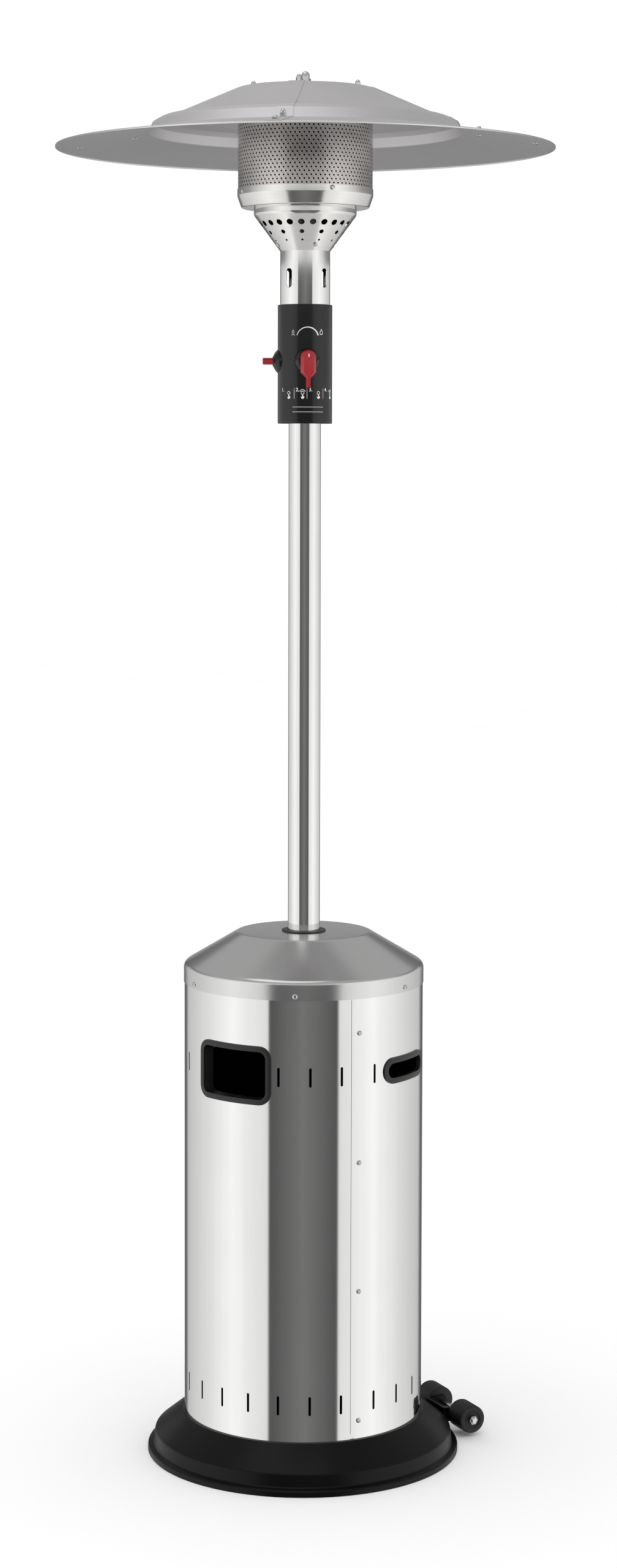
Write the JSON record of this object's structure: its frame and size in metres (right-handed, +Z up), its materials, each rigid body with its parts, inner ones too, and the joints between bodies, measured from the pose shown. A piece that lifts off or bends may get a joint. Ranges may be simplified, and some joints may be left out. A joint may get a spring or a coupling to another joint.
{
  "type": "patio heater",
  "caption": "Free-standing mushroom gas heater: round base with rollers, lift-up bottle housing, pole with control head, perforated emitter and wide lapped reflector.",
  "frame": {"origin": "middle of the base's rim on the floor, under the pole's axis", "axes": "+Z up the pole, -Y towards the control knob, -X towards the igniter button"},
  "size_m": [0.78, 0.78, 2.183],
  "materials": {
    "base_paint": "satin black paint",
    "shell_stainless": "polished stainless sheet",
    "dome_stainless": "satin stainless sheet",
    "emitter_stainless": "heat-tinted perforated stainless",
    "inner_steel": "plain steel",
    "fastener_steel": "bright zinc-plated steel",
    "reflector_aluminium": "matte rolled aluminium",
    "control_paint": "satin black powder coat",
    "gas_brass": "machined brass",
    "trim_plastic": "black moulded plastic",
    "electrode_ceramic": "white ceramic",
    "control_red": "red moulded plastic",
    "roller_rubber": "black hard rubber"
  },
  "bodies": {
    "stand": {"base_pan": "base_paint", "wheel_bracket": "base_paint", "pole": "shell_stainless", "neck_tube": "shell_stainless", "burner_cone": "dome_stainless", "burner_ring": "dome_stainless", "emitter_screen": "emitter_stainless", "burner_cap": "emitter_stainless", "support_strut_1": "inner_steel", "support_strut_2": "inner_steel", "support_strut_3": "inner_steel", "pole_socket": "inner_steel", "pole_adapter": "inner_steel", "mixing_tube": "inner_steel", "burner_plate": "inner_steel", "pilot_burner": "inner_steel", "thermocouple": "inner_steel", "reflector_posts": "inner_steel", "reflector_stud": "inner_steel", "strut_bolts": "fastener_steel", "pole_screws": "fastener_steel", "bracket_bolts": "fastener_steel", "wheel_axle": "fastener_steel", "axle_nuts": "fastener_steel", "cone_screws": "fastener_steel", "ring_screws": "fastener_steel", "reflector_bolts": "fastener_steel", "reflector_nuts": "fastener_steel", "reflector_washer": "fastener_steel", "reflector_cap_nut": "fastener_steel", "reflector_segment_1": "reflector_aluminium", "reflector_segment_2": "reflector_aluminium", "reflector_segment_3": "reflector_aluminium", "reflector_segment_4": "reflector_aluminium", "control_housing": "control_paint", "gas_valve": "gas_brass", "hose_nipple": "gas_brass", "gas_inlet_pipe": "gas_brass", "burner_feed_pipe": "gas_brass", "gas_injector": "gas_brass", "tilt_switch": "trim_plastic", "piezo_igniter": "trim_plastic", "spark_electrode": "electrode_ceramic"},
    "housing": {"housing_shell": "shell_stainless", "seam_screws": "fastener_steel", "housing_dome": "dome_stainless", "dome_screws": "fastener_steel", "guide_ring": "trim_plastic", "window_frame": "trim_plastic", "grip_frame_right": "trim_plastic", "grip_frame_left": "trim_plastic"},
    "spindle": {"valve_spindle": "gas_brass"},
    "knob": {"control_knob": "control_red"},
    "button": {"igniter_button": "control_red"},
    "front_roller": {"wheel_front": "roller_rubber"},
    "rear_roller": {"wheel_rear": "roller_rubber"}
  },
  "joints": [
    {"name": "housing_lift", "type": "slide", "parent": "stand", "child": "housing", "axis": [0, 0, 1], "range_m": [0, 0.795]},
    {"name": "knob_push", "type": "slide", "parent": "stand", "child": "spindle", "axis": [0, 1, 0], "range_m": [0, 0.004], "stiffness_N_per_m": 1500},
    {"name": "knob_turn", "type": "hinge", "parent": "spindle", "child": "knob", "pos_m": [0, -0.06, 1.732], "axis": [0, 1, 0], "range_deg": [-45, 45]},
    {"name": "igniter_press", "type": "slide", "parent": "stand", "child": "button", "axis": [1, 0, 0], "range_m": [0, 0.006], "stiffness_N_per_m": 800},
    {"name": "front_roller_spin", "type": "hinge", "parent": "stand", "child": "front_roller", "pos_m": [0.2509, 0.09132, 0.028], "axis": [-0.342, 0.9397, 0], "continuous": true},
    {"name": "rear_roller_spin", "type": "hinge", "parent": "stand", "child": "rear_roller", "pos_m": [0.2509, 0.09132, 0.028], "axis": [-0.342, 0.9397, 0], "continuous": true}
  ]
}
